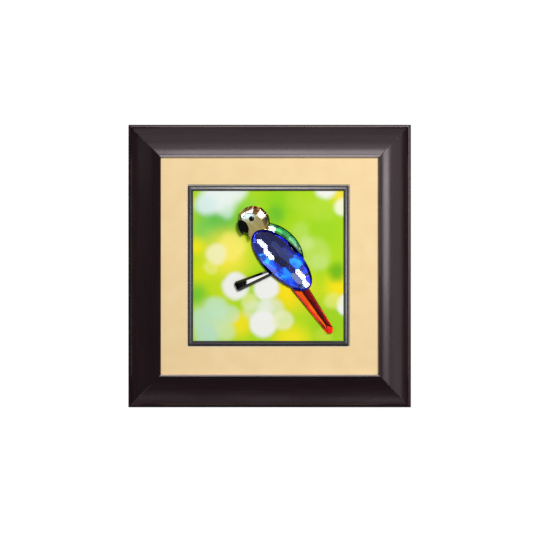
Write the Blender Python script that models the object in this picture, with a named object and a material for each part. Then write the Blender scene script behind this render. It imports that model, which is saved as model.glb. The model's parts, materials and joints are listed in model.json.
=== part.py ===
# Framed wall picture with a crystal bird: mitred scoop frame, mat, dark slip, printed panel
# and cut crystals set on the print.
# Units are metres. X is right, Z is up, and the front faces -Y. The wall is the plane y = 0 and
# the origin is on the wall, at the middle of the hanger's plate. "Level" means height off the wall.

import math

import bmesh
import bpy
from mathutils import Vector

# General fits
CLEARANCE = 0.0003          # gap between pieces that touch
FIT_GAP = 0.0010            # side play of the flat boards in the rabbet
ROUND_SIDES = 24            # sides of the small round pieces
ROUND_SMOOTHING = math.radians(40)      # edges sharper than this stay sharp on round pieces
MOULDING_SMOOTHING = math.radians(20)   # and on the moulded strips

# Frame moulding, seen from the front
FRAME_WIDTH = 0.300
FRAME_HEIGHT = 0.300
RAIL_WIDTH = 0.0335         # outer edge to sight edge
RABBET_WIDTH = 0.006        # how far the sight lip covers the boards
LIP_THICKNESS = 0.0045      # shelf of the rabbet to the top of the sight lip
LIP_RADIUS = 0.0011         # rounded arris at the sight edge
BEAD_WIDTH = 0.0030         # small flat-topped bead along the outer rim
BEAD_STEP = 0.0010          # drop from the bead into the scoop
RIM_RADIUS = 0.0014         # rounded outer arris
SCOOP_RIM_ANGLE = math.radians(47)   # slope of the scoop under the rim
SCOOP_LIP_ANGLE = math.radians(13)   # rise of the scoop towards the sight edge
SCOOP_STEPS = 12
ARRIS_STEPS = 3

# Layers behind the frame, from the wall outwards
STANDOFF = 0.0030           # wall to the back of the frame
BACK_RECESS = 0.0020        # back of the frame to the back board
BACK_BOARD_THICKNESS = 0.0030
PRINT_THICKNESS = 0.0030
MAT_THICKNESS = 0.0016
MAT_BEVEL_WIDTH = 0.0010    # width of the sloping cut round the window

# Window, slip and the picture inside them
SLIP_OUTER_WIDTH = 0.1713
SLIP_OUTER_HEIGHT = 0.1708
SLIP_WIDTH = 0.0054
SLIP_EDGE_HEIGHT = 0.0013
SLIP_CROWN = 0.0009         # rise of the slip's rounded top
SLIP_STEPS = 6
WINDOW_SHIFT_X = -0.0013    # the window sits a little left of the frame's middle
WINDOW_SHIFT_Z = 0.0003

# Hanger, its nails, back tabs and bumpers
HANGER_LENGTH = 0.045
HANGER_WIDTH = 0.010
HANGER_THICKNESS = 0.0009
HANGER_TAB_LENGTH = 0.0080  # flat end that is nailed to the frame
HANGER_JOGGLE = 0.0020      # length of the step between tab and raised middle
TOOTH_PITCH = 0.0024
TOOTH_DEPTH = 0.0013
TOOTH_ARCH = 0.0010         # the row of teeth rises this much in its middle
NAIL_SHAFT_RADIUS = 0.0007
NAIL_HEAD_RADIUS = 0.0018
NAIL_HEAD_THICKNESS = 0.0007
NAIL_LENGTH = 0.0090        # length in the wood
BACK_TAB_LENGTH = 0.0150
BACK_TAB_WIDTH = 0.0080
BACK_TAB_THICKNESS = 0.0006
BUMPER_RADIUS = 0.0055
BUMPER_CHAMFER = 0.0005
BUMPER_INSET = 0.0250       # from the frame's side edge to the bumper's middle

# Bird. Its places and outlines are in millimetres on a bird of this length, x right and z up
# from the middle of the picture, so that they all follow BIRD_LENGTH.
BIRD_LENGTH = 0.1615        # crown of the head to the tip of the tail
BIRD_UNIT = BIRD_LENGTH / 161.5
GIRDLE_BAND = 0.45          # upright band between the front and the back facets
CUTTER_LOW = -0.2           # cutters run from just behind the crystals
CUTTER_HIGH = 14.0          # to well in front of them

WING_CENTRE = (14.5, 5.7)
WING_LENGTH = 83.2
WING_WIDTH = 39.0
WING_TAPER = 0.05           # the oval is broader at the head end
WING_ANGLE = math.radians(-45.1)
WING_SIDES = 32
WING_GIRDLE = 2.3           # level of the widest line above the print
WING_SHOULDER = 2.0         # height of the steep rim facets above the girdle
WING_CROWN = 5.6            # rise of the dome above the shoulder
WING_RIM_ANGLE = math.radians(54)
WING_BACK_ANGLE = math.radians(17)
WING_BACK_SIDES = 16
FACET_PITCH_LONG = 13.0     # half the repeat of the staggered facets along the wing
FACET_PITCH_CROSS = 5.85    # repeat across the wing
FACET_OFFSET = (-3.45, -1.7)
FACET_REACH = 0.76          # facets stop here, as the squared share of the way to the rim

HEAD_CENTRE = (-16.0, 46.4)
HEAD_RADIUS = 17.8
HEAD_RIM_CORNERS = (-27, -4, 17, 33, 61, 91, 118, 146)   # degrees, nape to forehead
HEAD_BROW = (-31.8, 48.6)   # corner above the beak
HEAD_THROAT = [(-21.7, 36.0), (-19.2, 28.6), (-10.0, 28.0)]
HEAD_TABLE_CENTRE = (-17.4, 41.6)
HEAD_TABLE_RADIUS = 13.6
HEAD_TABLE_CORNERS = (-9, 39, 67, 85, 113, 150)   # degrees round the face
HEAD_TABLE_LEVEL = 9.2
HEAD_GIRDLE = 1.6
HEAD_CROWN_ANGLE = math.radians(27)
HEAD_RIM_ANGLE = math.radians(52)
HEAD_BACK_ANGLE = math.radians(35)

BODY_CENTRE = (-11.7, 0.0)  # along and across the wing from the wing's middle
BODY_LENGTH = 71.5
BODY_WIDTH = 54.4
BODY_SIDES = 20
BODY_INNER_EDGE = 12.0      # the blank starts this far across the wing
BODY_TIP_LIMIT = 14.5       # the crescent stops this far along the wing
BODY_LEVEL = 6.6
BODY_GIRDLE = 1.5
BODY_RIM_ANGLE = math.radians(48)
BODY_CROWN_ANGLE = math.radians(24)
BODY_CROWN_INSET = 3.9      # the inner row of facets starts this far from the edge
BODY_CROWN_LEVEL = 5.4      # and at this level

TAIL_ROOT = (34.4, -24.8)
TAIL_TIP = (67.6, -71.4)
TAIL_OVERLAP = 6.0          # length of the blank that the wing's edge trims away
TAIL_ROOT_WIDTH = 16.2
TAIL_TIP_WIDTH = 8.6
TAIL_EDGE_LEVEL = 1.4
TAIL_SHOULDER_LEVEL = 3.6
TAIL_SHOULDER_INSET = 1.6
TAIL_RIDGE_LEVEL = 6.2
TAIL_RIDGE_SHIFT = 0.6      # the ridge lies this far right of the middle
TAIL_TIP_LENGTH = 14.5      # length of the sloping end facet
TAIL_TIP_LEVEL = 1.8
TAIL_LEFT_CUT = 3.0         # lengths of the two cut corners at the tip
TAIL_RIGHT_CUT = 4.6
TAIL_END_SHARE = 0.25       # width left between the cut corners, as a share of the tip's width

PERCH_FREE_END = (-34.6, -22.4)
PERCH_ROOT = (2.0, -7.0)
PERCH_FREE_WIDTH = 10.6
PERCH_ROOT_WIDTH = 6.6
PERCH_CORNER_CUT = 2.0
PERCH_LEVEL = 6.0
PERCH_EDGE_LEVEL = 3.2
PERCH_TOP_SHARE = 0.52      # width of the flat top as a share of the bar's width

BEAK_TOP = [(-31.8, 48.2), (-27.4, 47.9), (-24.0, 45.4), (-22.0, 41.9), (-21.3, 39.0), (-21.9, 35.0)]
BEAK_NOTCH = [(-24.6, 35.0), (-26.8, 36.4)]
BEAK_HOOK = [(-27.3, 32.8), (-29.7, 35.6), (-31.7, 39.6), (-32.5, 43.6)]
BEAK_LEVEL = 7.4
BEAK_BEVEL = 1.1
BEAK_BEVEL_ANGLE = math.radians(60)
BEAK_GAP = 0.5              # gap between the beak and the face round it
CURVE_STEPS = 3

EYE_CENTRE = (-18.1, 50.1)
EYE_RADIUS = 2.25
EYE_RISE = 1.5
EYE_STEPS = 4

# Places worked out from the sizes above
TOP_EDGE = (RAIL_WIDTH - RABBET_WIDTH) / 2
CENTRE_Z = TOP_EDGE - FRAME_HEIGHT / 2
RAIL_BACK_WIDTH = RAIL_WIDTH - RABBET_WIDTH
BOARD_WIDTH = FRAME_WIDTH - 2 * (RAIL_BACK_WIDTH + FIT_GAP)
BOARD_HEIGHT = FRAME_HEIGHT - 2 * (RAIL_BACK_WIDTH + FIT_GAP)
BOARD_BACK = STANDOFF + BACK_RECESS
PRINT_BACK = BOARD_BACK + BACK_BOARD_THICKNESS + CLEARANCE
PRINT_FACE = PRINT_BACK + PRINT_THICKNESS
MAT_BACK = PRINT_FACE + CLEARANCE
MAT_FACE = MAT_BACK + MAT_THICKNESS
SHELF_LEVEL = MAT_FACE + CLEARANCE
LIP_LEVEL = SHELF_LEVEL + LIP_THICKNESS
SET_LEVEL = PRINT_FACE + CLEARANCE       # backs of the crystals
WINDOW_X = WINDOW_SHIFT_X
WINDOW_Z = CENTRE_Z + WINDOW_SHIFT_Z
PLATE_LEVEL = STANDOFF - CLEARANCE       # pieces fixed on the frame's back end here


# Materials

def make_material(name, color, roughness, metallic=0.0, transmission=0.0):
    material = bpy.data.materials.new(name)
    material.use_nodes = True
    shader = material.node_tree.nodes["Principled BSDF"]
    shader.inputs["Base Color"].default_value = (*color, 1.0)
    shader.inputs["Roughness"].default_value = roughness
    shader.inputs["Metallic"].default_value = metallic
    shader.inputs["Transmission Weight"].default_value = transmission
    material.diffuse_color = (*color, 1.0)
    return material


# Mesh helpers

def clear_scene():
    for obj in list(bpy.data.objects):
        bpy.data.objects.remove(obj, do_unlink=True)


def add_object(name, mesh_builder, material=None):
    mesh = bpy.data.meshes.new(name)
    bmesh.ops.recalc_face_normals(mesh_builder, faces=mesh_builder.faces)
    mesh_builder.to_mesh(mesh)
    mesh_builder.free()
    obj = bpy.data.objects.new(name, mesh)
    bpy.context.collection.objects.link(obj)
    if material:
        mesh.materials.append(material)
    return obj


def smooth_round(obj, angle=ROUND_SMOOTHING):
    obj.data.shade_smooth()
    obj.data.set_sharp_from_angle(angle=angle)


def loft(rings):
    """Joins closed rings of equal size, and caps the first and the last."""
    builder = bmesh.new()
    rows = [[builder.verts.new(point) for point in ring] for ring in rings]
    count = len(rows[0])
    for lower, upper in zip(rows, rows[1:]):
        for i in range(count):
            j = (i + 1) % count
            builder.faces.new((lower[i], lower[j], upper[j], upper[i]))
    builder.faces.new(rows[0])
    builder.faces.new(rows[-1])
    return builder


def at_level(outline, level):
    """Lifts an outline of (x, z) points to a level off the wall."""
    return [Vector((x, -level, z)) for x, z in outline]


def slab(outline, low, high):
    return loft([at_level(outline, low), at_level(outline, high)])


def rectangle(width, height, centre_x, centre_z):
    half_w = width / 2
    half_h = height / 2
    corners = ((-half_w, -half_h), (half_w, -half_h), (half_w, half_h), (-half_w, half_h))
    return [(centre_x + x, centre_z + z) for x, z in corners]


def circle(radius, centre_x, centre_z, sides=ROUND_SIDES):
    turns = [math.tau * i / sides for i in range(sides)]
    return [(centre_x + radius * math.cos(t), centre_z + radius * math.sin(t)) for t in turns]


def add_cutter(name, mesh_builder):
    cutter = add_object(name, mesh_builder)
    cutter.hide_render = True
    cutter.display_type = "WIRE"
    return cutter


def subtract(obj, cutter):
    modifier = obj.modifiers.new("Cut " + cutter.name, "BOOLEAN")
    modifier.operation = "DIFFERENCE"
    modifier.solver = "EXACT"
    modifier.object = cutter


# Frame and slip: strips mitred at the corners

def mitred_strips(prefix, width, height, centre_x, centre_z, section, material):
    """Makes four strips. A section point is (distance in from the outer edge, level)."""
    sides = {
        "bottom": (Vector((1, 0, 0)), Vector((0, 0, -1)), width, height),
        "right": (Vector((0, 0, 1)), Vector((1, 0, 0)), height, width),
        "top": (Vector((-1, 0, 0)), Vector((0, 0, 1)), width, height),
        "left": (Vector((0, 0, -1)), Vector((-1, 0, 0)), height, width),
    }
    centre = Vector((centre_x, 0, centre_z))
    strips = {}
    for side, (along, outward, length, across) in sides.items():
        rings = []
        for end in (-1, 1):
            ring = []
            for inward, level in section:
                half_run = length / 2 - inward - CLEARANCE / 2
                point = centre + along * (end * half_run) + outward * (across / 2 - inward)
                ring.append(point + Vector((0, -level, 0)))
            rings.append(ring)
        strip = add_object(prefix + side, loft(rings), material)
        smooth_round(strip, MOULDING_SMOOTHING)
        strips[side] = strip
    return strips


def quarter_arc(centre, radius, start, steps):
    """Points of a quarter circle that turns clockwise from the start angle."""
    turns = [start - math.pi / 2 * i / steps for i in range(steps + 1)]
    return [(centre[0] + radius * math.cos(t), centre[1] + radius * math.sin(t)) for t in turns]


def rail_section():
    scoop_end = RAIL_WIDTH - LIP_RADIUS
    radius = (scoop_end - BEAD_WIDTH) / (math.sin(SCOOP_RIM_ANGLE) + math.sin(SCOOP_LIP_ANGLE))
    middle_in = BEAD_WIDTH + radius * math.sin(SCOOP_RIM_ANGLE)
    middle_level = LIP_LEVEL + radius * math.cos(SCOOP_LIP_ANGLE)
    scoop = []
    for i in range(SCOOP_STEPS + 1):
        t = -SCOOP_RIM_ANGLE + (SCOOP_RIM_ANGLE + SCOOP_LIP_ANGLE) * i / SCOOP_STEPS
        scoop.append((middle_in + radius * math.sin(t), middle_level - radius * math.cos(t)))
    rim_level = scoop[0][1] + BEAD_STEP
    outer_arris = quarter_arc((RIM_RADIUS, rim_level - RIM_RADIUS), RIM_RADIUS, math.pi, ARRIS_STEPS)
    lip_arris = quarter_arc((scoop_end, LIP_LEVEL - LIP_RADIUS), LIP_RADIUS, math.pi / 2, ARRIS_STEPS)
    bead_inner = [(BEAD_WIDTH - BEAD_STEP / 2, rim_level)]
    rabbet = [(RAIL_WIDTH, SHELF_LEVEL), (RAIL_BACK_WIDTH, SHELF_LEVEL), (RAIL_BACK_WIDTH, STANDOFF)]
    return [(0, STANDOFF)] + outer_arris + bead_inner + scoop[:-1] + lip_arris + rabbet


def slip_section():
    points = [(0, SET_LEVEL), (0, SET_LEVEL + SLIP_EDGE_HEIGHT)]
    for i in range(1, SLIP_STEPS):
        share = i / SLIP_STEPS
        rise = SLIP_CROWN * math.sin(math.pi * share)
        points.append((SLIP_WIDTH * share, SET_LEVEL + SLIP_EDGE_HEIGHT + rise))
    return points + [(SLIP_WIDTH, SET_LEVEL + SLIP_EDGE_HEIGHT), (SLIP_WIDTH, SET_LEVEL)]


# Boards

def make_board(name, low, thickness, material):
    outline = rectangle(BOARD_WIDTH, BOARD_HEIGHT, 0, CENTRE_Z)
    return add_object(name, slab(outline, low, low + thickness), material)


def make_mat(material):
    opening_width = SLIP_OUTER_WIDTH + 2 * CLEARANCE
    opening_height = SLIP_OUTER_HEIGHT + 2 * CLEARANCE
    window_back = rectangle(opening_width, opening_height, WINDOW_X, WINDOW_Z)
    window_face = rectangle(
        opening_width + 2 * MAT_BEVEL_WIDTH, opening_height + 2 * MAT_BEVEL_WIDTH, WINDOW_X, WINDOW_Z
    )
    outer = rectangle(BOARD_WIDTH, BOARD_HEIGHT, 0, CENTRE_Z)
    outlines = [
        at_level(outer, MAT_BACK), at_level(outer, MAT_FACE),
        at_level(window_face, MAT_FACE), at_level(window_back, MAT_BACK),
    ]
    builder = bmesh.new()
    rings = [[builder.verts.new(point) for point in outline] for outline in outlines]
    for ring, following in zip(rings, rings[1:] + rings[:1]):
        for i in range(4):
            j = (i + 1) % 4
            builder.faces.new((ring[i], ring[j], following[j], following[i]))
    return add_object("mat_board", builder, material)


# Back fittings

def make_hanger(material):
    """A stamped strip: flat nailed ends, a raised middle, and teeth along its lower edge."""
    half = HANGER_LENGTH / 2
    tab_end = half - HANGER_TAB_LENGTH
    raised = tab_end - HANGER_JOGGLE
    low_edge = -HANGER_WIDTH / 2
    tab_level = PLATE_LEVEL - HANGER_THICKNESS
    stations = [(-half, low_edge, tab_level), (-tab_end, low_edge, tab_level), (-raised, low_edge, 0.0)]
    teeth = int(2 * raised / TOOTH_PITCH)
    first = -teeth * TOOTH_PITCH / 2
    for i in range(2 * teeth + 1):
        x = first + i * TOOTH_PITCH / 2
        arch = TOOTH_ARCH * (1 - (x / raised) ** 2)
        notch = TOOTH_DEPTH if i % 2 else 0.0
        stations.append((x, low_edge + arch + notch, 0.0))
    stations += [(raised, low_edge, 0.0), (tab_end, low_edge, tab_level), (half, low_edge, tab_level)]
    rings = []
    for x, low, level in stations:
        front = level + HANGER_THICKNESS
        corners = ((low, level), (HANGER_WIDTH / 2, level), (HANGER_WIDTH / 2, front), (low, front))
        rings.append([Vector((x, -height, z)) for z, height in corners])
    return add_object("hanger", loft(rings), material)


def nail_places():
    reach = HANGER_LENGTH / 2 - HANGER_TAB_LENGTH / 2
    return {"left": -reach, "right": reach}


def make_nails(hanger, top_rail, material):
    """Each nail's head lies on the hanger, and its shaft runs through it into the top rail."""
    head_back = PLATE_LEVEL - HANGER_THICKNESS - CLEARANCE - NAIL_HEAD_THICKNESS
    head_front = head_back + NAIL_HEAD_THICKNESS
    shaft_end = STANDOFF + NAIL_LENGTH
    for side, x in nail_places().items():
        rings = [
            at_level(circle(NAIL_HEAD_RADIUS, x, 0), head_back),
            at_level(circle(NAIL_HEAD_RADIUS, x, 0), head_front),
            at_level(circle(NAIL_SHAFT_RADIUS, x, 0), head_front),
            at_level(circle(NAIL_SHAFT_RADIUS, x, 0), shaft_end),
        ]
        nail = add_object("hanger_nail_" + side, loft(rings), material)
        smooth_round(nail)
        hole = circle(NAIL_SHAFT_RADIUS + CLEARANCE, x, 0)
        cutter = add_cutter("nail_hole_" + side, slab(hole, -CLEARANCE, shaft_end + CLEARANCE))
        subtract(hanger, cutter)
        subtract(top_rail, cutter)


def make_bumpers(material):
    x_reach = FRAME_WIDTH / 2 - BUMPER_INSET
    z = CENTRE_Z - FRAME_HEIGHT / 2 + RAIL_BACK_WIDTH / 2
    for side, x in (("left", -x_reach), ("right", x_reach)):
        rings = [
            at_level(circle(BUMPER_RADIUS - BUMPER_CHAMFER, x, z), 0),
            at_level(circle(BUMPER_RADIUS, x, z), BUMPER_CHAMFER),
            at_level(circle(BUMPER_RADIUS, x, z), PLATE_LEVEL),
        ]
        bumper = add_object("bumper_" + side, loft(rings), material)
        smooth_round(bumper)


def make_back_tabs(material):
    """Flat tabs with rounded noses, each driven in at the rabbet's wall and lying on the back board."""
    high = BOARD_BACK - CLEARANCE
    half = BACK_TAB_WIDTH / 2
    straight = BACK_TAB_LENGTH - half
    outline = [(-half, 0), (half, 0)]
    for i in range(ROUND_SIDES // 2 + 1):
        t = math.pi * i / (ROUND_SIDES // 2)
        outline.append((half * math.cos(t), straight + half * math.sin(t)))
    half_width = FRAME_WIDTH / 2 - RAIL_BACK_WIDTH - CLEARANCE
    half_height = FRAME_HEIGHT / 2 - RAIL_BACK_WIDTH - CLEARANCE
    places = {
        "bottom": ((1, 0), (0, 1), (0, CENTRE_Z - half_height)),
        "top": ((-1, 0), (0, -1), (0, CENTRE_Z + half_height)),
        "left": ((0, -1), (1, 0), (-half_width, CENTRE_Z)),
        "right": ((0, 1), (-1, 0), (half_width, CENTRE_Z)),
    }
    for side, (across, inward, foot) in places.items():
        placed = []
        for a, b in outline:
            x = foot[0] + a * across[0] + b * inward[0]
            z = foot[1] + a * across[1] + b * inward[1]
            placed.append((x, z))
        add_object("back_tab_" + side, slab(placed, high - BACK_TAB_THICKNESS, high), material)


# Bird: places on the picture

def on_picture(x, z):
    """A bird point in the bird's millimetres, as x and z in the model."""
    return WINDOW_X + x * BIRD_UNIT, WINDOW_Z + z * BIRD_UNIT


def bird_level(rise):
    """A height above the crystals' backs in the bird's millimetres, as a level off the wall."""
    return SET_LEVEL + rise * BIRD_UNIT


def wing_frame_point(along, across):
    """A point given along and across the wing from its middle, in the bird's millimetres."""
    x, z = wing_direction(along, across)
    return WING_CENTRE[0] + x, WING_CENTRE[1] + z


def oval(length, width, taper, sides, grow=0.0):
    """An egg-shaped outline along and across, in the bird's millimetres."""
    points = []
    for i in range(sides):
        t = math.tau * i / sides
        across = (width / 2 * (1 - taper * math.cos(t)) + grow) * math.sin(t)
        points.append(((length / 2 + grow) * math.cos(t), across))
    return points


def wing_outline(grow=0.0):
    points = oval(WING_LENGTH, WING_WIDTH, WING_TAPER, WING_SIDES, grow)
    return [wing_frame_point(along, across) for along, across in points]


def wing_direction(along, across):
    """Turns a direction along and across the wing into x and z."""
    cos = math.cos(WING_ANGLE)
    sin = math.sin(WING_ANGLE)
    return along * cos - across * sin, along * sin + across * cos


def blank(outline, top, bottom=0.0):
    placed = [on_picture(x, z) for x, z in outline]
    return slab(placed, bird_level(bottom), bird_level(top))


def slice_off(builder, point, normal):
    """Grinds away what lies beyond a plane, and closes the new flat face."""
    geometry = builder.verts[:] + builder.edges[:] + builder.faces[:]
    bmesh.ops.bisect_plane(
        builder, geom=geometry, dist=1e-7, plane_co=point, plane_no=normal, clear_outer=True
    )
    rim = [edge for edge in builder.edges if edge.is_boundary]
    if rim:
        bmesh.ops.holes_fill(builder, edges=rim, sides=0)


def facet_normal(outward, angle):
    """Normal of a facet that faces outward in the picture's plane and slopes by the angle."""
    flat = Vector((outward[0], 0, outward[1])).normalized()
    return flat * math.sin(angle) + Vector((0, -1, 0)) * math.cos(angle)


def grind_ring(builder, outline, level, angle, inset=0.0, closed=True):
    """Grinds one sloping facet along each edge of a convex outline that turns anticlockwise."""
    ends = outline[1:] + outline[:1] if closed else outline[1:]
    for start, end in zip(outline, ends):
        middle = ((start[0] + end[0]) / 2, (start[1] + end[1]) / 2)
        outward = Vector((end[1] - start[1], start[0] - end[0])).normalized()
        x, z = on_picture(middle[0] - outward[0] * inset, middle[1] - outward[1] * inset)
        slice_off(builder, Vector((x, -bird_level(level), z)), facet_normal(outward, angle))


def make_wing(material):
    """Dome of staggered hexagons: each facet touches one paraboloid at a point of a staggered grid."""
    shoulder = WING_GIRDLE + WING_SHOULDER
    builder = blank(wing_outline(), shoulder + WING_CROWN)
    half_length = WING_LENGTH / 2
    half_width = WING_WIDTH / 2
    columns = int(half_length / FACET_PITCH_LONG) + 1
    rows = int(half_width / FACET_PITCH_CROSS) + 1
    for column in range(-columns, columns + 1):
        for row in range(-rows, rows + 1):
            along = FACET_OFFSET[0] + column * FACET_PITCH_LONG
            across = FACET_OFFSET[1] + (row + column % 2 / 2) * FACET_PITCH_CROSS
            reach = (along / half_length) ** 2 + (across / half_width) ** 2
            if reach > FACET_REACH:
                continue
            slope_along = 2 * WING_CROWN * along / half_length ** 2
            slope_across = 2 * WING_CROWN * across / half_width ** 2
            rise = shoulder + WING_CROWN * (1 - reach)
            x, z = on_picture(*wing_frame_point(along, across))
            tilt = wing_direction(slope_along, slope_across)
            normal = Vector((tilt[0], -1, tilt[1])).normalized()
            slice_off(builder, Vector((x, -bird_level(rise), z)), normal)
    grind_ring(builder, wing_outline(), WING_GIRDLE, WING_RIM_ANGLE)
    back = oval(WING_LENGTH, WING_WIDTH, WING_TAPER, WING_BACK_SIDES)
    back = [wing_frame_point(*point) for point in back]
    grind_ring(builder, back, WING_GIRDLE - GIRDLE_BAND, math.pi - WING_BACK_ANGLE)
    return add_object("wing_crystal", builder, material)


def arc_points(centre, radius, degrees):
    turns = [math.radians(angle) for angle in degrees]
    return [(centre[0] + radius * math.cos(t), centre[1] + radius * math.sin(t)) for t in turns]


def head_rim():
    return arc_points(HEAD_CENTRE, HEAD_RADIUS, HEAD_RIM_CORNERS) + [HEAD_BROW]


def head_outline():
    return head_rim() + HEAD_THROAT


def make_head(cutters, material):
    """A faceted ball with a flat face: a table, a ring of crown facets and a steeper outer ring."""
    builder = blank(head_outline(), HEAD_TABLE_LEVEL)
    table = arc_points(HEAD_TABLE_CENTRE, HEAD_TABLE_RADIUS, HEAD_TABLE_CORNERS)
    grind_ring(builder, table, HEAD_TABLE_LEVEL, HEAD_CROWN_ANGLE, closed=False)
    grind_ring(builder, head_rim(), HEAD_GIRDLE, HEAD_RIM_ANGLE, closed=False)
    back_level = HEAD_GIRDLE - GIRDLE_BAND
    grind_ring(builder, head_rim(), back_level, math.pi - HEAD_BACK_ANGLE, closed=False)
    head = add_object("head_crystal", builder, material)
    for cutter in cutters:
        subtract(head, cutter)
    return head


def between(before, start, end, after, t):
    """The value at share t of the way from start to end on a smooth curve through all four."""
    slope = end - before
    bend = 2 * before - 5 * start + 4 * end - after
    twist = 3 * start - before - 3 * end + after
    return (2 * start + slope * t + bend * t ** 2 + twist * t ** 3) / 2


def smooth_through(points):
    """A smooth curve through the points, with both ends kept sharp."""
    padded = [points[0]] + points + [points[-1]]
    curve = []
    for four in zip(padded, padded[1:], padded[2:], padded[3:]):
        for step in range(CURVE_STEPS):
            t = step / CURVE_STEPS
            curve.append(tuple(between(*values, t) for values in zip(*four)))
    return curve + [points[-1]]


def beak_outline():
    upper = smooth_through(BEAK_TOP)
    hook = smooth_through(BEAK_HOOK + BEAK_TOP[:1])
    return upper + BEAK_NOTCH + hook[:-1]


def make_beak(material):
    beak = add_object("beak", blank(list(reversed(beak_outline())), BEAK_LEVEL), material)
    bevel = beak.modifiers.new("Polished front", "BEVEL")
    bevel.width = BEAK_BEVEL * BIRD_UNIT
    bevel.segments = 2
    bevel.limit_method = "ANGLE"
    bevel.angle_limit = BEAK_BEVEL_ANGLE
    return beak


def make_body(cutters, material):
    """The crescent of a larger oval that shows beside the wing and below the head."""
    points = []
    for along, across in oval(BODY_LENGTH, BODY_WIDTH, 0.0, BODY_SIDES):
        points.append(wing_frame_point(BODY_CENTRE[0] + along, BODY_CENTRE[1] + across))
    builder = blank(points, BODY_LEVEL)
    grind_ring(builder, points, BODY_GIRDLE, BODY_RIM_ANGLE)
    inner = [((a[0] + b[0]) / 2, (a[1] + b[1]) / 2) for a, b in zip(points, points[1:] + points[:1])]
    grind_ring(builder, inner, BODY_CROWN_LEVEL, BODY_CROWN_ANGLE, inset=BODY_CROWN_INSET)
    ends = (((0, BODY_INNER_EDGE), (0, -1)), ((BODY_TIP_LIMIT, 0), (1, 0)))
    for spot, outward in ends:
        x, z = on_picture(*wing_frame_point(*spot))
        facing = wing_direction(*outward)
        slice_off(builder, Vector((x, 0, z)), Vector((facing[0], 0, facing[1])))
    body = add_object("body_crystal", builder, material)
    for cutter in cutters:
        subtract(body, cutter)
    return body


def bar_frame(root, end):
    """Unit vectors along a bar and across it, and its length."""
    along = Vector(end) - Vector(root)
    length = along.length
    along = along.normalized()
    return along, Vector((-along[1], along[0])), length


def grind_between(builder, low_line, high_line):
    """Grinds the facet that runs from a low line up to a high line. Each is two (x, z, rise) points."""
    points = []
    for x, z, rise in (*low_line, high_line[0]):
        placed = on_picture(x, z)
        points.append(Vector((placed[0], -bird_level(rise), placed[1])))
    normal = (points[1] - points[0]).cross(points[2] - points[0]).normalized()
    if normal.y > 0:
        normal = -normal
    slice_off(builder, points[0], normal)


def make_tail(cutter, material):
    """A long tapered prism: two broad facets meet on a ridge, with a narrow facet along each edge."""
    along, across, length = bar_frame(TAIL_ROOT, TAIL_TIP)
    root = Vector(TAIL_ROOT) - along * TAIL_OVERLAP
    full = length + TAIL_OVERLAP
    growth = (TAIL_ROOT_WIDTH - TAIL_TIP_WIDTH) / length
    root_half = (TAIL_ROOT_WIDTH + growth * TAIL_OVERLAP) / 2
    tip_half = TAIL_TIP_WIDTH / 2

    def place(distance, sideways, rise=0.0):
        spot = root + along * distance + across * sideways
        return spot[0], spot[1], rise

    end_half = tip_half * TAIL_END_SHARE
    corners = [
        place(0, -root_half), place(full - TAIL_LEFT_CUT, -tip_half), place(full, -end_half),
        place(full, end_half), place(full - TAIL_RIGHT_CUT, tip_half), place(0, root_half),
    ]
    builder = blank([corner[:2] for corner in corners], TAIL_RIDGE_LEVEL)
    ridge = [place(0, TAIL_RIDGE_SHIFT, TAIL_RIDGE_LEVEL), place(full, TAIL_RIDGE_SHIFT / 2, TAIL_RIDGE_LEVEL)]
    for side in (-1, 1):
        edge = [place(0, side * root_half, TAIL_EDGE_LEVEL), place(full, side * tip_half, TAIL_EDGE_LEVEL)]
        shoulder = [
            place(0, side * (root_half - TAIL_SHOULDER_INSET), TAIL_SHOULDER_LEVEL),
            place(full, side * (tip_half - TAIL_SHOULDER_INSET), TAIL_SHOULDER_LEVEL),
        ]
        grind_between(builder, edge, shoulder)
        grind_between(builder, shoulder, ridge)
    tip_line = [place(full, -end_half, TAIL_TIP_LEVEL), place(full, end_half, TAIL_TIP_LEVEL)]
    ridge_end = [place(full - TAIL_TIP_LENGTH, 0, TAIL_RIDGE_LEVEL)] * 2
    grind_between(builder, tip_line, ridge_end)
    tail = add_object("tail_crystal", builder, material)
    subtract(tail, cutter)
    return tail


def make_perch(cutter, material):
    """A tapered bar with cut corners at its free end and a flat top between two sloping sides."""
    along, across, length = bar_frame(PERCH_FREE_END, PERCH_ROOT)
    free = Vector(PERCH_FREE_END)
    free_half = PERCH_FREE_WIDTH / 2
    root_half = PERCH_ROOT_WIDTH / 2

    def place(distance, sideways, rise=0.0):
        spot = free + along * distance + across * sideways
        return spot[0], spot[1], rise

    cut = PERCH_CORNER_CUT
    corners = [
        place(0, free_half - cut), place(0, cut - free_half), place(cut, -free_half),
        place(length, -root_half), place(length, root_half), place(cut, free_half),
    ]
    builder = blank([corner[:2] for corner in corners], PERCH_LEVEL)
    for side in (-1, 1):
        edge = [place(0, side * free_half, PERCH_EDGE_LEVEL), place(length, side * root_half, PERCH_EDGE_LEVEL)]
        top = [
            place(0, side * free_half * PERCH_TOP_SHARE, PERCH_LEVEL),
            place(length, side * root_half * PERCH_TOP_SHARE, PERCH_LEVEL),
        ]
        grind_between(builder, edge, top)
    end_line = [place(0, -cut, PERCH_EDGE_LEVEL), place(0, cut, PERCH_EDGE_LEVEL)]
    grind_between(builder, end_line, [place(PERCH_LEVEL - PERCH_EDGE_LEVEL, 0, PERCH_LEVEL)] * 2)
    perch = add_object("perch_bar", builder, material)
    subtract(perch, cutter)
    return perch


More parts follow.
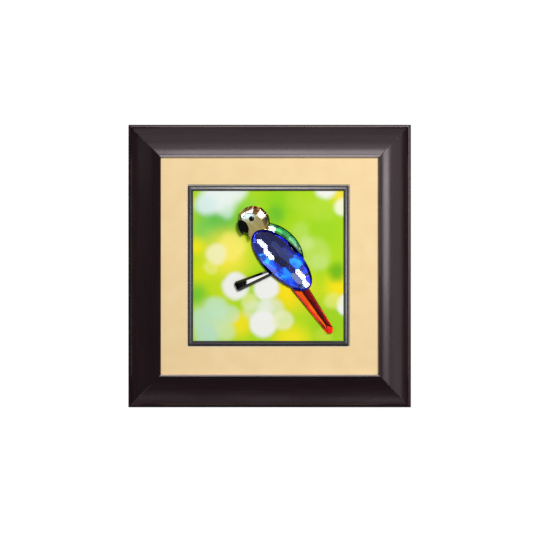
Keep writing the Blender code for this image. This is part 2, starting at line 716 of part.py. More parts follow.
def make_eye(material):
    """A domed bead that sits on the face."""
    x, z = on_picture(*EYE_CENTRE)
    base = bird_level(HEAD_TABLE_LEVEL) + CLEARANCE
    rings = []
    for i in range(EYE_STEPS):
        t = math.pi / 2 * i / EYE_STEPS
        radius = EYE_RADIUS * BIRD_UNIT * math.cos(t)
        rings.append(at_level(circle(radius, x, z), base + EYE_RISE * BIRD_UNIT * math.sin(t)))
    bead = add_object("eye_bead", loft(rings), material)
    smooth_round(bead)
    return bead


def grown_cutter(name, outline, grow):
    """A prism a little larger than a piece's outline, which keeps its neighbours clear of it."""
    middle = sum((Vector(point) for point in outline), Vector((0, 0))) / len(outline)
    grown = []
    for point in outline:
        spoke = Vector(point) - middle
        grown.append(tuple(middle + spoke * (1 + grow / spoke.length)))
    return add_cutter(name, blank(grown, CUTTER_HIGH, CUTTER_LOW))


def make_bird(materials):
    gap = CLEARANCE / BIRD_UNIT
    around_wing = add_cutter("around_wing", blank(wing_outline(gap), CUTTER_HIGH, CUTTER_LOW))
    around_head = grown_cutter("around_head", head_outline(), gap)
    around_beak = grown_cutter("around_beak", list(reversed(beak_outline())), BEAK_GAP)
    make_wing(materials["blue"])
    make_head([around_wing, around_beak], materials["topaz"])
    make_beak(materials["jet"])
    make_body([around_wing, around_head], materials["green"])
    make_tail(around_wing, materials["red"])
    make_perch(around_wing, materials["jet"])
    make_eye(materials["jet"])


def build():
    clear_scene()
    materials = {
        "espresso": make_material("espresso_lacquer", (0.022, 0.016, 0.019), 0.32),
        "cream": make_material("cream_mat", (0.84, 0.67, 0.40), 0.85),
        "slip": make_material("charcoal_slip", (0.05, 0.048, 0.05), 0.35),
        "print": make_material("printed_sheet", (0.50, 0.70, 0.06), 0.45),
        "hardboard": make_material("hardboard", (0.30, 0.19, 0.11), 0.8),
        "steel": make_material("zinc_steel", (0.55, 0.55, 0.53), 0.35, metallic=1.0),
        "felt": make_material("dark_felt", (0.05, 0.05, 0.05), 0.95),
        "blue": make_material("sapphire_crystal", (0.02, 0.16, 0.80), 0.0, transmission=1.0),
        "green": make_material("peridot_crystal", (0.20, 0.70, 0.25), 0.0, transmission=1.0),
        "topaz": make_material("topaz_crystal", (0.62, 0.52, 0.32), 0.0, transmission=1.0),
        "red": make_material("ruby_crystal", (0.80, 0.12, 0.02), 0.0, transmission=1.0),
        "jet": make_material("jet_crystal", (0.004, 0.004, 0.004), 0.05),
    }
    rails = mitred_strips(
        "frame_rail_", FRAME_WIDTH, FRAME_HEIGHT, 0, CENTRE_Z, rail_section(), materials["espresso"]
    )
    mitred_strips(
        "liner_", SLIP_OUTER_WIDTH, SLIP_OUTER_HEIGHT, WINDOW_X, WINDOW_Z, slip_section(), materials["slip"]
    )
    make_mat(materials["cream"])
    make_board("print_panel", PRINT_BACK, PRINT_THICKNESS, materials["print"])
    make_board("back_board", BOARD_BACK, BACK_BOARD_THICKNESS, materials["hardboard"])
    hanger = make_hanger(materials["steel"])
    make_nails(hanger, rails["top"], materials["steel"])
    make_bumpers(materials["felt"])
    make_back_tabs(materials["steel"])
    make_bird(materials)


build()
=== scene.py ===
# Framed crystal wall picture: finishes, finer pieces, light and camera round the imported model.

import json
import math

import bmesh
import bpy
from mathutils import Matrix, Vector

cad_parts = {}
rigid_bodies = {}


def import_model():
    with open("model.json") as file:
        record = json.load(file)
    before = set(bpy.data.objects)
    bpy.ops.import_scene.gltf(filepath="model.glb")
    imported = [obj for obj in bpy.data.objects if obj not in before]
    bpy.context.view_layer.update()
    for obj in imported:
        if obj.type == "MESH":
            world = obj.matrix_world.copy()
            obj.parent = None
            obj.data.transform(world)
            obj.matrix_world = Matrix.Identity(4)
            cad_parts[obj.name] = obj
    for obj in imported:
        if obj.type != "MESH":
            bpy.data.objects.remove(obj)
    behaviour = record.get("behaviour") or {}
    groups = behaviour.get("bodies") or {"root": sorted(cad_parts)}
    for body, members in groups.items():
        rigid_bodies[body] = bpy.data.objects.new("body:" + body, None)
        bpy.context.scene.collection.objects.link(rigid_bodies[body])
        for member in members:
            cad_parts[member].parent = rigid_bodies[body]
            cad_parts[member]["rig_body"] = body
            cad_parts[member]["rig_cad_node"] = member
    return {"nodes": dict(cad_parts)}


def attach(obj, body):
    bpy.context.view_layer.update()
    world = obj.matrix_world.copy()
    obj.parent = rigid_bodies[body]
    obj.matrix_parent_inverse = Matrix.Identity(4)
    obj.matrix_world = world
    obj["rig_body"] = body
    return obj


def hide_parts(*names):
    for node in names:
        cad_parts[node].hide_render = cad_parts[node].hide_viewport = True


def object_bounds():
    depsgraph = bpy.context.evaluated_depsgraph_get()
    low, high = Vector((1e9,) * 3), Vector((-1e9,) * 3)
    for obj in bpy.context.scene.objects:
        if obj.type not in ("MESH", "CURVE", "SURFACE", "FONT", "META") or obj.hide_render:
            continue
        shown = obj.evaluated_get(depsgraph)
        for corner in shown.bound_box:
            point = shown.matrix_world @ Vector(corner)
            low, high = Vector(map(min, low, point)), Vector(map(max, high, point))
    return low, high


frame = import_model()
cadLow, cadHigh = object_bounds()
nodes = frame["nodes"]
frameMiddle = (cadLow + cadHigh) / 2
mm = 0.001

print("frame loaded:", len(nodes), "nodes")


# Shader writing: a Wire is one socket of a material's node tree

class Wire:
    def __init__(self, tree, socket=None):
        self.tree = tree
        self.socket = socket

    def add(self, kind, settings=None, values=None, output=0):
        node = self.tree.nodes.new(kind)
        for name, value in (settings or {}).items():
            setattr(node, name, value)
        for key, value in (values or {}).items():
            if isinstance(value, Wire):
                self.tree.links.new(value.socket, node.inputs[key])
            else:
                node.inputs[key].default_value = value
        return Wire(self.tree, node.outputs[output])

    def fill(self, shade):   # a plain colour to start from
        base = self.add("ShaderNodeRGB")
        base.socket.default_value = shade
        return base

    def acrossAndUp(self):   # the x and z parts of a place
        across = self.add("ShaderNodeSeparateXYZ", None, {0: self})
        return across, Wire(self.tree, across.socket.node.outputs[2])

    def maths(self, operation, *values):
        return self.add("ShaderNodeMath", {"operation": operation}, dict(enumerate(values)))

    def vector(self, operation, *others, output=0):
        values = dict(enumerate((self, *others)))
        return self.add("ShaderNodeVectorMath", {"operation": operation}, values, output)

    def __add__(self, other):
        return self.maths("ADD", self, other)

    __radd__ = __add__

    def __sub__(self, other):
        return self.maths("SUBTRACT", self, other)

    def __rsub__(self, other):
        return self.maths("SUBTRACT", other, self)

    def __mul__(self, other):
        return self.maths("MULTIPLY", self, other)

    __rmul__ = __mul__

    def smooth(self, low, high, start=0.0, end=1.0):   # a soft step between two values
        settings = {"interpolation_type": "SMOOTHSTEP"}
        values = {"Value": self, "From Min": low, "From Max": high, "To Min": start, "To Max": end}
        return self.add("ShaderNodeMapRange", settings, values)

    def blend(self, other, share):   # this colour towards the other one
        settings = {"data_type": "RGBA", "blend_type": "MIX", "clamp_factor": True}
        return self.add("ShaderNodeMix", settings, {0: share, 6: self, 7: other}, 2)

    def noise(self, scale, detail=2.0, roughness=0.5, output=0):
        values = {"Vector": self, "Scale": scale, "Detail": detail, "Roughness": roughness}
        return self.add("ShaderNodeTexNoise", None, values, output)


def color(*rgb):   # screen values of 0 to 255, as the shader's own light values
    return tuple(shade / 12.92 if shade <= 0.04045 else ((shade + 0.055) / 1.055) ** 2.4
                 for shade in (value / 255 for value in rgb)) + (1.0,)


socketNames = {
    "base": "Base Color", "roughness": "Roughness", "metallic": "Metallic", "ior": "IOR",
    "transmission": "Transmission Weight", "specular": "Specular IOR Level",
    "specularTint": "Specular Tint", "coat": "Coat Weight", "coatRoughness": "Coat Roughness",
    "sheen": "Sheen Weight", "sheenRoughness": "Sheen Roughness", "normal": "Normal",
}


def startMaterial(name, **plain):
    material = bpy.data.materials.new(name)
    material.use_nodes = True
    shader = material.node_tree.nodes["Principled BSDF"]
    for key, value in plain.items():
        shader.inputs[socketNames[key]].default_value = value
    return material, shader, Wire(material.node_tree)


def connect(shader, **wires):
    tree = shader.id_data
    for key, wire in wires.items():
        tree.links.new(wire.socket, shader.inputs[socketNames[key]])


def objectPlace(wire):
    return wire.add("ShaderNodeTexCoord", output=3)


def bump(wire, height, strength, distance):
    return wire.add("ShaderNodeBump", None, {"Height": height, "Strength": strength, "Distance": distance})


# Working by hand

def deselectAll():
    bpy.ops.object.select_all(action="DESELECT")


def activate(piece):
    deselectAll()
    piece.select_set(True)
    bpy.context.view_layer.objects.active = piece


def edit(piece, selectMode="VERT"):
    activate(piece)
    bpy.ops.object.mode_set(mode="EDIT")
    bpy.ops.mesh.select_mode(type=selectMode)


def leaveEdit():
    bpy.ops.object.mode_set(mode="OBJECT")


def pick(piece, kind, test):   # selects what passes the test, in edit mode
    bpy.ops.mesh.select_all(action="DESELECT")
    mesh = bmesh.from_edit_mesh(piece.data)
    for item in getattr(mesh, kind):
        if test(item):
            item.select_set(True)
    bmesh.update_edit_mesh(piece.data)


def applyModifiers(piece):
    activate(piece)
    for modifier in list(piece.modifiers):
        bpy.ops.object.modifier_apply(modifier=modifier.name)


def softenEdges(piece, width, angle=30, segments=2):
    bevel = piece.modifiers.new("soft edges", "BEVEL")
    bevel.width = width
    bevel.segments = segments
    bevel.limit_method = "ANGLE"
    bevel.angle_limit = math.radians(angle)
    bevel.use_clamp_overlap = True
    applyModifiers(piece)


def smoothShade(piece, angle):
    activate(piece)
    bpy.ops.object.shade_smooth_by_angle(angle=math.radians(angle))


def handOver(piece, material, nodeName):   # the finished piece stands for its node
    piece.data.materials.clear()
    piece.data.materials.append(material)
    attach(piece, "root")
    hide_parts(nodeName)


mergeGap = 0.000001
flatAngle = 0.6   # degrees between faces that count as one flat face


def copyNode(nodeName, pieceName):   # a merged copy of a node, with its flat faces whole
    activate(nodes[nodeName])
    bpy.ops.object.duplicate()
    piece = bpy.context.object
    piece.name = pieceName
    piece.data.name = pieceName
    piece.parent = None
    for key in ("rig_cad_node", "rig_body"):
        del piece[key]
    piece.data.materials.clear()
    edit(piece)
    bpy.ops.mesh.select_all(action="SELECT")
    bpy.ops.mesh.remove_doubles(threshold=mergeGap)
    bpy.ops.mesh.dissolve_limited(angle_limit=math.radians(flatAngle))
    leaveEdit()
    bpy.ops.mesh.customdata_custom_splitnormals_clear()
    bpy.ops.object.shade_flat()
    return piece


# Long strips with a shaped front: the frame's rails and the slip round the picture

def makeStrip(name, length, width, frontLine, backLevel):
    top = max(level for inward, level in frontLine)
    deselectAll()
    bpy.ops.mesh.primitive_cube_add(
        size=1, location=(0, -(top + backLevel) / 2, width / 2), scale=(length, top - backLevel, width)
    )
    strip = bpy.context.object
    strip.name = name
    strip.data.name = name
    bpy.ops.object.transform_apply(location=True, rotation=True, scale=True)
    edit(strip)
    for inward, level in frontLine[1:-1]:
        bpy.ops.mesh.select_all(action="SELECT")
        bpy.ops.mesh.bisect(plane_co=(0, 0, inward), plane_no=(0, 0, 1))
    near = 0.00001
    for inward, level in frontLine:
        if top - level < near / 10:
            continue
        pick(strip, "verts", lambda v: abs(v.co.z - inward) < near and v.co.y < -top + near)
        bpy.ops.transform.translate(value=(0, top - level, 0))
    return strip


mitreInset = 0.0005   # a cut this far inside each mitre keeps the long faces evenly shaded


def cutMitres(length, mitreGap):   # on the strip that is in edit mode
    half = length / 2 - mitreGap
    for side in (-1, 1):
        bpy.ops.mesh.select_all(action="SELECT")
        bpy.ops.mesh.bisect(plane_co=(side * (half - mitreInset), 0, 0), plane_no=(side, 0, 1))
    for side in (-1, 1):
        bpy.ops.mesh.select_all(action="SELECT")
        bpy.ops.mesh.bisect(
            plane_co=(side * half, 0, 0), plane_no=(side, 0, 1), use_fill=True, clear_outer=True
        )
    leaveEdit()


def mapGrain(strip):   # u runs along the strip and v across it, in metres
    layer = strip.data.uv_layers.new(name="grain")
    for loop in strip.data.loops:
        place = strip.data.vertices[loop.vertex_index].co
        layer.data[loop.index].uv = (place.x, place.z - place.y)


def placeStrip(strip, side, centre, outerHeight):
    turns = {"bottom": 0, "right": -90, "top": 180, "left": 90}
    turn = Matrix.Rotation(math.radians(turns[side]), 4, "Y")
    strip.data.transform(Matrix.Translation(centre) @ turn @ Matrix.Translation((0, 0, -outerHeight / 2)))


def arcLine(inward, level, radius, start, end, steps):
    line = []
    for step in range(steps + 1):
        turn = math.radians(start + (end - start) * step / steps)
        line.append((inward + radius * math.cos(turn), level + radius * math.sin(turn)))
    return line


rail = {
    "side": 0.300, "width": 0.0343, "rabbet": 0.006, "standoff": 0.003, "shelf": 0.0135,
    "rimRadius": 0.0014, "rimDrop": 0.00016, "rimSlope": 47, "rimEnd": 100, "rimSteps": 5,
    "beadWidth": 0.003, "beadStep": 0.00084, "beadInset": 0.0007, "beadRadius": 0.0004, "beadSteps": 3,
    "lipLevel": 0.018, "lipRadius": 0.0026, "lipStart": 62, "lipSlope": 13, "lipSteps": 7,
    "scoopSteps": 36, "mitreGap": 0.00001, "softEdge": 0.00009, "cornerAngle": 35, "shadeAngle": 25,
    # The last three: where the painted highlight line along the inner lips starts and ends, and how far it
    # stops short of the mitres
    "lipHighlightOuter": 0.0021, "lipHighlightInner": 0.0015, "lipHighlightMitre": 0.0004,
}


def railFront():
    rimSine = math.sin(math.radians(rail["rimSlope"]))
    lipSine = math.sin(math.radians(rail["lipSlope"]))
    lipMiddle = rail["width"] - rail["lipRadius"]
    scoopEnd = lipMiddle + rail["lipRadius"] * math.cos(math.radians(rail["lipStart"]))
    radius = (scoopEnd - rail["beadWidth"]) / (rimSine + lipSine)
    middle = rail["beadWidth"] + radius * rimSine
    high = rail["lipLevel"] + radius * math.cos(math.radians(rail["lipSlope"]))
    scoop = arcLine(middle, high, radius, -90 - rail["rimSlope"], -90 + rail["lipSlope"], rail["scoopSteps"])
    rimLevel = scoop[0][1] + rail["beadStep"]
    rimMiddle = rimLevel - rail["rimRadius"] - rail["rimDrop"]   # the rim slopes a little outward
    rim = arcLine(
        rail["rimRadius"], rimMiddle, rail["rimRadius"], 180, rail["rimEnd"], rail["rimSteps"]
    )
    bead = arcLine(
        rail["beadWidth"] - rail["beadInset"], rimLevel - rail["beadRadius"], rail["beadRadius"],
        90, 0, rail["beadSteps"],
    )
    lipDrop = rail["lipRadius"] * math.sin(math.radians(rail["lipStart"]))
    lip = arcLine(
        lipMiddle, rail["lipLevel"] - lipDrop, rail["lipRadius"], rail["lipStart"], 0, rail["lipSteps"]
    )
    return rim + bead + scoop + lip[1:]


def makeRail(side):
    strip = makeStrip("rail_" + side, rail["side"], rail["width"], railFront(), rail["shelf"])
    backWidth = rail["width"] - rail["rabbet"]
    bpy.ops.mesh.select_all(action="SELECT")
    bpy.ops.mesh.bisect(plane_co=(0, 0, backWidth), plane_no=(0, 0, 1))
    bpy.ops.mesh.select_mode(type="FACE")
    pick(strip, "faces", lambda f: f.normal.y > 0.9 and f.calc_center_median().z < backWidth)
    bpy.ops.mesh.extrude_region_move(
        TRANSFORM_OT_translate={"value": (0, rail["shelf"] - rail["standoff"], 0)}
    )
    cutMitres(rail["side"], rail["mitreGap"])
    softenEdges(strip, rail["softEdge"], rail["cornerAngle"])
    mapGrain(strip)
    placeStrip(strip, side, frameCentre, rail["side"])
    smoothShade(strip, rail["shadeAngle"])
    return strip


slip = {
    "width": 0.1713, "height": 0.1708, "band": 0.0054, "back": 0.0116, "edge": 0.0013, "crown": 0.0009,
    "steps": 12, "centreX": -0.0013, "centreZ": -0.13595, "mitreGap": 0.00001, "softEdge": 0.00008,
    "cornerAngle": 35, "shadeAngle": 35,
}


def slipFront():
    line = []
    for step in range(slip["steps"] + 1):
        share = step / slip["steps"]
        level = slip["back"] + slip["edge"] + slip["crown"] * math.sin(math.pi * share)
        line.append((slip["band"] * share, level))
    return line


def makeSlip(side):
    upright = side in ("left", "right")
    length, across = (slip["height"], slip["width"]) if upright else (slip["width"], slip["height"])
    strip = makeStrip("slip_" + side, length, slip["band"], slipFront(), slip["back"])
    cutMitres(length, slip["mitreGap"])
    softenEdges(strip, slip["softEdge"], slip["cornerAngle"])
    mapGrain(strip)
    placeStrip(strip, side, windowCentre, across)
    smoothShade(strip, slip["shadeAngle"])
    return strip


frameCentre = Vector((0, 0, frameMiddle.z))
windowCentre = Vector((slip["centreX"], 0, slip["centreZ"]))


# Finishes of the frame, the slip and the boards

def insideWindow(place, outer, inner):   # full inside a margin round the slip's outline, none outside it
    away = place.vector("SUBTRACT", tuple(windowCentre)).vector("ABSOLUTE")
    sideways, upright = away.acrossAndUp()
    side, top = slip["width"] / 2, slip["height"] / 2
    return sideways.smooth(side + outer, side + inner) * upright.smooth(top + outer, top + inner)


def makeEspresso():
    material, shader, start = startMaterial(
        "espresso_lacquer", specular=0.5, specularTint=(1.0, 0.86, 0.9, 1), coat=0.1, coatRoughness=0.22
    )
    place = start.add("ShaderNodeUVMap", {"uv_map": "grain"})
    grain = place.vector("MULTIPLY", (22.0, 900.0, 0.0)).noise(1.0, 4.0, 0.6)
    haze = place.vector("MULTIPLY", (9.0, 60.0, 0.0)).noise(1.0, 2.0)
    base = start.fill(color(20, 4, 11)).blend(color(30, 12, 19), grain.smooth(0.35, 0.75))
    away = objectPlace(start).vector("SUBTRACT", tuple(frameMiddle)).vector("ABSOLUTE")
    sideways, upright = away.acrossAndUp()
    # A painted highlight: a pale line along the inner lips of the top and bottom rails, where a catch light
    # falls
    inner = (cadHigh.x - cadLow.x) / 2 - rail["width"]
    lip = upright.smooth(inner + rail["lipHighlightOuter"], inner + rail["lipHighlightInner"])
    lip = lip * (upright - sideways).smooth(-rail["lipHighlightMitre"], 0.0)
    base = base.blend(color(132, 126, 131), lip)   # the fine pale line along the top and bottom lips
    connect(
        shader, base=base, roughness=haze.smooth(0.3, 0.7, 0.25, 0.31),
        normal=bump(start, grain, 0.06, 0.00005),
    )
    return material


mat = {"coreOuter": 0.0011, "coreInner": 0.0009}   # the window's cut, measured out from the slip


def makeCream():
    material, shader, start = startMaterial("cream_mat", specular=0.25)
    place = objectPlace(start)
    fibre = place.noise(2600.0, 4.0, 0.7)
    mottle = place.noise(55.0, 3.0)
    base = start.fill(color(247, 217, 163)).blend(color(251, 223, 170), mottle.smooth(0.3, 0.7))
    base = base.blend(color(236, 204, 148), fibre.smooth(0.55, 0.8) * 0.3)
    core = insideWindow(place, mat["coreOuter"], mat["coreInner"])   # pale where the board is cut
    connect(
        shader, base=base.blend(color(255, 248, 230), core),
        roughness=fibre.smooth(0.3, 0.7, 0.78, 0.9), normal=bump(start, fibre, 0.25, 0.00005),
    )
    return material


def makeCharcoal():
    material, shader, start = startMaterial("charcoal_slip", specular=0.5, coat=0.3, coatRoughness=0.25)
    place = start.add("ShaderNodeUVMap", {"uv_map": "grain"})
    brushed = place.vector("MULTIPLY", (30.0, 2400.0, 0.0)).noise(1.0, 4.0, 0.6)
    base = start.fill(color(38, 34, 37)).blend(color(54, 50, 52), brushed.smooth(0.35, 0.7))
    connect(
        shader, base=base, roughness=brushed.smooth(0.3, 0.7, 0.30, 0.40),
        normal=bump(start, brushed, 0.03, 0.00005),
    )
    return material


# The printed sheet: soft light through leaves. An area or spot is x, z, radius, softness, share and
# colour, in millimetres from the picture's centre

printed = {
    "ground": (168, 213, 18), "drift": 0.007, "borderOuter": -0.0016, "borderInner": -0.002,
    "areas": [
        (-52, 48, 40, 0.9, 0.95, (92, 186, 70)),
        (-68, 36, 20, 0.9, 0.6, (118, 202, 84)),
        (-24, 62, 22, 0.9, 0.8, (134, 208, 60)),
        (10, 66, 34, 0.9, 0.85, (132, 204, 12)),
        (8, 54, 15, 0.9, 0.7, (84, 180, 40)),
        (58, 40, 34, 0.9, 0.6, (146, 208, 22)),
        (44, 60, 20, 0.9, 0.5, (176, 214, 50)),
        (-44, 12, 40, 0.85, 0.95, (240, 226, 60)),
        (-78, 20, 16, 0.9, 0.9, (236, 226, 10)),
        (-72, -8, 24, 0.9, 0.9, (206, 222, 6)),
        (-50, -28, 26, 0.9, 0.6, (200, 218, 20)),
        (26, -26, 34, 0.8, 0.95, (246, 218, 10)),
        (74, -24, 26, 0.85, 0.95, (242, 222, 6)),
        (72, -7, 15, 0.85, 0.85, (92, 176, 6)),
        (48, -40, 30, 0.8, 0.7, (190, 214, 30)),
        (66, -60, 36, 0.8, 0.8, (150, 204, 20)),
        (-76, -30, 18, 0.9, 0.95, (116, 196, 40)),
        (-60, -62, 34, 0.85, 0.95, (196, 224, 176)),
        (-30, -62, 22, 0.85, 0.95, (236, 222, 20)),
        (24, -82, 30, 0.8, 0.95, (238, 224, 20)),
        (78, 74, 18, 0.9, 0.9, (240, 220, 60)),
        (-84, 66, 12, 0.9, 0.9, (214, 220, 40)),
    ],
    "spots": [
        (-52, 74, 26, 0.55, 1.0, (228, 236, 230)),
        (-66, 64, 16, 0.70, 0.95, (210, 232, 226)),
        (-34, 80, 16, 0.70, 0.9, (228, 236, 226)),
        (-44, 58, 12, 0.80, 0.7, (200, 230, 206)),
        (-40, 20, 20, 0.50, 0.55, (250, 234, 120)),
        (-56, 13, 14.5, 0.45, 0.85, (238, 236, 184)),
        (-62, -2, 10, 0.60, 0.4, (244, 238, 150)),
        (-35, -21, 17.5, 0.36, 1.0, (234, 235, 228)),
        (-20, -38, 12, 0.50, 0.5, (240, 236, 170)),
        (-2, -23, 16.5, 0.38, 1.0, (235, 235, 229)),
        (-16, -48, 15, 0.55, 0.55, (220, 232, 190)),
        (4, -46, 16, 0.50, 0.6, (226, 232, 206)),
        (-3, -43, 13, 0.75, 0.75, (230, 234, 222)),
        (-5, -62, 17.5, 0.36, 1.0, (236, 236, 230)),
        (15, -58, 14, 0.45, 0.7, (232, 234, 190)),
        (-56, -44, 16, 0.55, 0.8, (190, 226, 190)),
        (-42, -52, 14, 0.50, 0.55, (196, 228, 196)),
        (-70, -56, 16, 0.55, 0.7, (182, 222, 184)),
        (-66, -74, 16, 0.55, 0.8, (180, 220, 190)),
        (-46, -70, 13, 0.55, 0.7, (204, 228, 160)),
        (61, 82, 15, 0.50, 1.0, (236, 236, 226)),
        (80, 62, 12, 0.55, 0.95, (236, 238, 206)),
        (46, 12, 24, 0.45, 0.5, (196, 222, 110)),
        (54, 3, 12, 0.55, 0.35, (200, 226, 140)),
        (40, 24, 12, 0.70, 0.5, (204, 226, 140)),
        (34, 36, 14, 0.65, 0.4, (190, 222, 110)),
        (84, -41, 14, 0.36, 1.0, (236, 237, 230)),
        (68, -38, 12, 0.60, 0.6, (228, 232, 120)),
        (36, -18, 13, 0.60, 0.5, (246, 236, 90)),
        (60, 58, 18, 0.60, 0.3, (190, 222, 70)),
        (28, 70, 14, 0.60, 0.3, (180, 218, 50)),
        (58, -74, 12, 0.60, 0.4, (206, 222, 70)),
    ],
}


def makePrint():
    material, shader, start = startMaterial("printed_sheet", specular=0.12)
    place = objectPlace(start)
    waver = place.noise(42.0, 2.0, output=1).vector("SUBTRACT", (0.5, 0.5, 0.5))
    drifted = place.vector("ADD", waver.vector("MULTIPLY", (printed["drift"],) * 3))
    base = start.fill(color(*printed["ground"]))
    for x, z, radius, softness, share, shade in printed["areas"] + printed["spots"]:
        centre = windowCentre + Vector((x * mm, 0, z * mm))
        offset = drifted.vector("SUBTRACT", tuple(centre)).vector("MULTIPLY", (1, 0, 1))
        away = offset.vector("LENGTH", output=1)
        reach = away.smooth(radius * mm, radius * mm * (1 - softness), 0.0, share)
        base = base.blend(color(*shade), reach)
    inside = insideWindow(place, printed["borderOuter"], printed["borderInner"])
    base = base.blend(color(255, 250, 232), 1.0 - inside)   # the sheet's bare border, under the slip
    tooth = place.noise(3000.0, 3.0)
    connect(
        shader, base=base, roughness=tooth.smooth(0.3, 0.7, 0.5, 0.6),
        normal=bump(start, tooth, 0.08, 0.00003),
    )
    return material


# Crystals: a prism on the stone's outline, ground to flat facets. Places are in millimetres from the
# picture's centre, and levels in millimetres off the print

setLevel = 0.0116


def picturePoint(x, z, level):
    return Vector((windowCentre.x + x * mm, -(setLevel + level * mm), windowCentre.z + z * mm))


def makeBlank(name, outline, thickness):
    deselectAll()
    bpy.ops.mesh.primitive_circle_add(vertices=len(outline), radius=0.05, fill_type="NGON")
    blank = bpy.context.object
    blank.name = name
    blank.data.name = name
    for vertex, (x, z) in zip(blank.data.vertices, outline):
        vertex.co = picturePoint(x, z, 0)
    edit(blank, "FACE")
    bpy.ops.mesh.select_all(action="SELECT")
    bpy.ops.mesh.extrude_region_move(TRANSFORM_OT_translate={"value": (0, -thickness * mm, 0)})
    bpy.ops.mesh.select_all(action="SELECT")
    bpy.ops.mesh.normals_make_consistent(inside=False)
    return blank


def grind(place, outward, angle):   # takes off what lies beyond a sloping plane
    tilt = math.radians(angle)
    length = math.hypot(*outward)
    slope = (outward[0] / length * math.sin(tilt), -math.cos(tilt), outward[1] / length * math.sin(tilt))
    bpy.ops.mesh.select_all(action="SELECT")
    bpy.ops.mesh.bisect(plane_co=picturePoint(*place), plane_no=slope, use_fill=True, clear_outer=True)


def grindRing(corners, level, angles, closed=False):   # one facet an edge, corners clockwise
    ends = corners[1:] + corners[:1] if closed else corners[1:]
    for (startX, startZ), (endX, endZ), angle in zip(corners, ends, angles):
        middle = ((startX + endX) / 2, (startZ + endZ) / 2, level)
        grind(middle, (startZ - endZ, endX - startX), angle)


backSlope = 135   # degrees from the front


def grindBack(stone, rim, closed=False):   # a narrow slope along the back edge
    grindRing(rim, stone["backEdge"], [backSlope] * len(rim), closed)


def finishStone(piece, edge):
    leaveEdit()
    softenEdges(piece, edge, angle=3, segments=1)
    return piece


wing = {
    "centre": (14.5, 5.7), "length": 83.2, "width": 39.0, "taper": 0.05, "turn": -45.1, "sides": 40,
    "girdle": 2.0, "shoulder": 1.6, "crown": 5.6, "rimAngle": 47, "backEdge": 0.35,
    "pitchLong": 13.0, "pitchCross": 5.85, "shift": (-1.25, -2.7), "reach": 1.02, "edge": 0.00012,
    # The ground is the blue glass. The azure, pale and white facets and the seams are painted highlights, and
    # the navy and black facets and the rim spots painted shade
    "ground": (14, 24, 120), "rim": (10, 8, 195), "seam": (70, 90, 200), "foil": (245, 250, 255), "steep": 44,
    "rimPaintedShade": [(41.0, -6.5, 7.5, (6, 5, 60))],
    "facets": [
        (-13.7, 34.4, 4, (66, 62, 140)), (1.6, 31.4, 4, (26, 26, 84)),
        (-17.9, 30.2, 4, (60, 36, 190)), (-2.5, 27.2, 4, (30, 34, 96)),
        (12.9, 24.2, 4, (22, 22, 78)), (-6.6, 23.1, 4, (80, 120, 230)),
        (8.8, 20.1, 4, (44, 48, 100)), (-10.8, 19.0, 4, (30, 50, 170)),
        (24.1, 17.1, 4, (20, 20, 210)), (4.6, 16.0, 4, (52, 54, 116)),
        (-14.9, 14.8, 4, (60, 180, 255)), (20.0, 12.9, 4, (14, 14, 60)),
        (0.5, 11.8, 4, (120, 160, 240)), (35.4, 9.9, 4, (10, 30, 240)),
        (15.9, 8.8, 4, (40, 40, 96)), (-3.7, 7.7, 4, (70, 200, 255)),
        (31.2, 5.8, 4, (0, 140, 255)), (11.7, 4.7, 4, (4, 3, 12)),
        (-7.8, 3.6, 4, (70, 170, 255)), (27.1, 1.7, 4, (0, 120, 250)),
        (7.6, 0.6, 4, (20, 110, 225)), (42.5, -1.3, 4, (20, 20, 180)),
        (23.0, -2.5, 4, (20, 36, 120)), (3.4, -3.6, 4, (0, 120, 250)),
        (38.4, -5.5, 4, (3, 3, 24)), (18.8, -6.6, 4, (20, 140, 250)),
        (-0.7, -7.7, 4, (30, 70, 250)), (34.2, -9.6, 4, (180, 210, 250)),
        (14.7, -10.7, 4, (10, 160, 255)), (30.1, -13.7, 4, (60, 100, 210)),
        (10.5, -14.8, 4, (0, 80, 240)), (45.5, -16.7, 4, (10, 10, 140)),
        (25.9, -17.9, 4, (0, 90, 235)), (41.3, -20.9, 4, (190, 220, 255)),
        (21.8, -22.0, 4, (0, 60, 225)), (37.2, -25.0, 4, (110, 150, 230)),
    ],
}


def wingPlace(along, across):
    turn = math.radians(wing["turn"])
    x = wing["centre"][0] + along * math.cos(turn) - across * math.sin(turn)
    z = wing["centre"][1] + along * math.sin(turn) + across * math.cos(turn)
    return x, z


def oval(middle, length, width, sides, taper=0.0, start=0.0):   # clockwise, along and across the wing
    corners = []
    for side in range(sides):
        turn = -math.tau * (side + start) / sides
        across = width / 2 * (1 - taper * math.cos(turn)) * math.sin(turn)
        corners.append(wingPlace(middle + length / 2 * math.cos(turn), across))
    return corners


def wingOval(grow=0.0):
    return oval(0, wing["length"] + 2 * grow, wing["width"] + 2 * grow, wing["sides"], wing["taper"])


def makeWing():   # staggered hexagons, each touching one dome
    top = wing["girdle"] + wing["shoulder"]
    piece = makeBlank("blue_wing", wingOval(), top + wing["crown"])
    halfLength, halfWidth = wing["length"] / 2, wing["width"] / 2
    columns = int(halfLength / wing["pitchLong"]) + 1
    rows = int(halfWidth / wing["pitchCross"]) + 1
    middleX, middleZ = wing["centre"]
    for column in range(-columns, columns + 1):
        for row in range(-rows, rows + 1):
            along = wing["shift"][0] + column * wing["pitchLong"]
            across = wing["shift"][1] + (row + column % 2 / 2) * wing["pitchCross"]
            alongShare, acrossShare = along / halfLength, across / halfWidth
            reach = alongShare ** 2 + acrossShare ** 2
            if reach > wing["reach"]:
                continue
            slopeX, slopeZ = wingPlace(
                2 * wing["crown"] * alongShare / halfLength, 2 * wing["crown"] * acrossShare / halfWidth
            )
            outward = (slopeX - middleX, slopeZ - middleZ)
            steepness = math.degrees(math.atan(math.hypot(*outward)))
            grind((*wingPlace(along, across), top + wing["crown"] * (1 - reach)), outward, steepness)
    rim = wingOval()
    grindRing(rim, wing["girdle"], [wing["rimAngle"]] * len(rim), closed=True)
    grindBack(wing, rim, closed=True)
    return finishStone(piece, wing["edge"])


